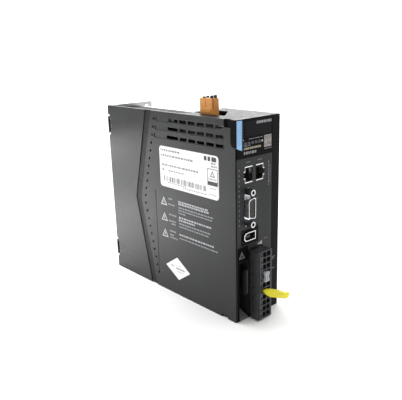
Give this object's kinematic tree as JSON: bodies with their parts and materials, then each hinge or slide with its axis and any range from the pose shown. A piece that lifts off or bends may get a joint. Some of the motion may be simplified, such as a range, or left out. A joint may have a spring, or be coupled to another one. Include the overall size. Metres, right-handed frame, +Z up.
{
  "type": "servo drive",
  "caption": "Slim upright servo drive for a control cabinet, with front keys and display, network and feedback sockets, pluggable power and safety terminals and a finned heatsink.",
  "frame": {"origin": "centre of the underside, halfway between the front face and the mounting face", "axes": "+X to the right seen from the front, +Y from the front face to the mounting face, +Z up"},
  "size_m": [0.0487, 0.1999, 0.1739],
  "materials": {
    "cover_plastic": "fine texture, dark grey",
    "housing_plastic": "fine texture, dark grey",
    "fascia_plastic": "fine texture, dark grey",
    "bay_plastic": "matte black",
    "cap_plastic": "satin black",
    "blue_plastic": "pale blue",
    "window_plastic": "smoked, polished",
    "display_plastic": "matte",
    "board_laminate": "solder resist, satin",
    "light_pipe": "clear, diffusing",
    "key_plastic": "satin",
    "connector_plastic": "satin black",
    "connector_shell": "tinned, slightly dull",
    "contact_metal": "gold-plated",
    "screw_steel": "zinc-plated",
    "chip_plastic": "moulded",
    "link_plastic": "natural nylon",
    "insulator_film": "aramid paper",
    "thermal_pad": "soft pad",
    "capacitor_sleeve": "heat-shrink sleeve",
    "relay_plastic": "moulded",
    "copper_wire": "enamelled copper",
    "fuse_body": "glazed",
    "standoff_brass": "machined",
    "heatsink_aluminium": "bare, satin",
    "plug_plastic": "satin black",
    "spring_steel": "bright",
    "tin_plate": "tinned",
    "bridge_plastic": "light grey",
    "lever_plastic": "yellow",
    "safety_plastic": "orange",
    "pusher_plastic": "black",
    "label_film": "white polyester",
    "seal_film": "white polyester"
  },
  "bodies": {
    "drive_body": {"left_cover": "cover_plastic", "main_housing": "housing_plastic", "front_fascia": "fascia_plastic", "terminal_bay": "bay_plastic", "upper_cap": "cap_plastic", "blue_strip": "blue_plastic", "display_window": "window_plastic", "display_module": "display_plastic", "display_board": "board_laminate", "status_light_pipe": "light_pipe", "key_switches": "connector_plastic", "ethernet_shield_left": "connector_shell", "ethernet_shield_right": "connector_shell", "ethernet_inserts": "connector_plastic", "ethernet_contacts": "contact_metal", "dsub_shell": "connector_shell", "dsub_insert": "connector_plastic", "dsub_jackscrews": "screw_steel", "encoder_shell": "connector_shell", "encoder_insert": "connector_plastic", "io_board": "board_laminate", "control_board": "board_laminate", "processor_chips": "chip_plastic", "board_link_connectors": "link_plastic", "insulator_sheet": "insulator_film", "power_board": "board_laminate", "power_module": "chip_plastic", "thermal_pads": "thermal_pad", "rectifier_bridge": "chip_plastic", "bus_capacitors": "capacitor_sleeve", "precharge_relay": "relay_plastic", "input_choke": "copper_wire", "line_fuse": "fuse_body", "standoffs": "standoff_brass", "board_screws": "screw_steel", "heatsink": "heatsink_aluminium", "housing_screws": "screw_steel", "earth_screws": "screw_steel", "power_header": "connector_plastic", "power_header_pins": "tin_plate", "safety_header": "connector_plastic", "safety_header_pins": "tin_plate", "rating_label": "label_film", "seal_sticker": "seal_film"},
    "power_plug": {"power_plug": "plug_plastic", "clamp_springs": "spring_steel"},
    "terminal_bridge": {"terminal_bridge": "bridge_plastic"},
    "clamp_lever": {"clamp_lever": "lever_plastic"},
    "safety_plug": {"safety_plug": "safety_plastic"},
    "safety_pusher_1": {"safety_pusher_1": "pusher_plastic"},
    "safety_pusher_2": {"safety_pusher_2": "pusher_plastic"},
    "safety_pusher_3": {"safety_pusher_3": "pusher_plastic"},
    "safety_pusher_4": {"safety_pusher_4": "pusher_plastic"},
    "key_mode": {"key_mode": "key_plastic"},
    "key_up": {"key_up": "key_plastic"},
    "key_down": {"key_down": "key_plastic"},
    "key_shift": {"key_shift": "key_plastic"},
    "key_set": {"key_set": "key_plastic"}
  },
  "joints": [
    {"name": "power_plug_slide", "type": "slide", "parent": "drive_body", "child": "power_plug", "axis": [0, -1, 0], "range_m": [0, 0.016]},
    {"name": "terminal_bridge_slide", "type": "slide", "parent": "power_plug", "child": "terminal_bridge", "axis": [0, -1, 0], "range_m": [0, 0.008]},
    {"name": "clamp_lever_hinge", "type": "hinge", "parent": "power_plug", "child": "clamp_lever", "pos_m": [-0.00355, -0.089, 0.02472], "axis": [1, 0, 0], "range_deg": [0, 12], "stiffness_Nm_per_rad": 0.02, "springref_deg": -5.73},
    {"name": "safety_plug_slide", "type": "slide", "parent": "drive_body", "child": "safety_plug", "axis": [0, 0, 1], "range_m": [0, 0.014]},
    {"name": "safety_pusher_1_slide", "type": "slide", "parent": "safety_plug", "child": "safety_pusher_1", "axis": [0, 0, -1], "range_m": [0, 0.001], "stiffness_N_per_m": 300, "springref_m": -0.0005},
    {"name": "safety_pusher_2_slide", "type": "slide", "parent": "safety_plug", "child": "safety_pusher_2", "axis": [0, 0, -1], "range_m": [0, 0.001], "stiffness_N_per_m": 300, "springref_m": -0.0005},
    {"name": "safety_pusher_3_slide", "type": "slide", "parent": "safety_plug", "child": "safety_pusher_3", "axis": [0, 0, -1], "range_m": [0, 0.001], "stiffness_N_per_m": 300, "springref_m": -0.0005},
    {"name": "safety_pusher_4_slide", "type": "slide", "parent": "safety_plug", "child": "safety_pusher_4", "axis": [0, 0, -1], "range_m": [0, 0.001], "stiffness_N_per_m": 300, "springref_m": -0.0005},
    {"name": "key_mode_press", "type": "slide", "parent": "drive_body", "child": "key_mode", "axis": [0, 1, 0], "range_m": [0, 0.0004], "stiffness_N_per_m": 500, "springref_m": -0.0004},
    {"name": "key_up_press", "type": "slide", "parent": "drive_body", "child": "key_up", "axis": [0, 1, 0], "range_m": [0, 0.0004], "stiffness_N_per_m": 500, "springref_m": -0.0004},
    {"name": "key_down_press", "type": "slide", "parent": "drive_body", "child": "key_down", "axis": [0, 1, 0], "range_m": [0, 0.0004], "stiffness_N_per_m": 500, "springref_m": -0.0004},
    {"name": "key_shift_press", "type": "slide", "parent": "drive_body", "child": "key_shift", "axis": [0, 1, 0], "range_m": [0, 0.0004], "stiffness_N_per_m": 500, "springref_m": -0.0004},
    {"name": "key_set_press", "type": "slide", "parent": "drive_body", "child": "key_set", "axis": [0, 1, 0], "range_m": [0, 0.0004], "stiffness_N_per_m": 500, "springref_m": -0.0004}
  ]
}
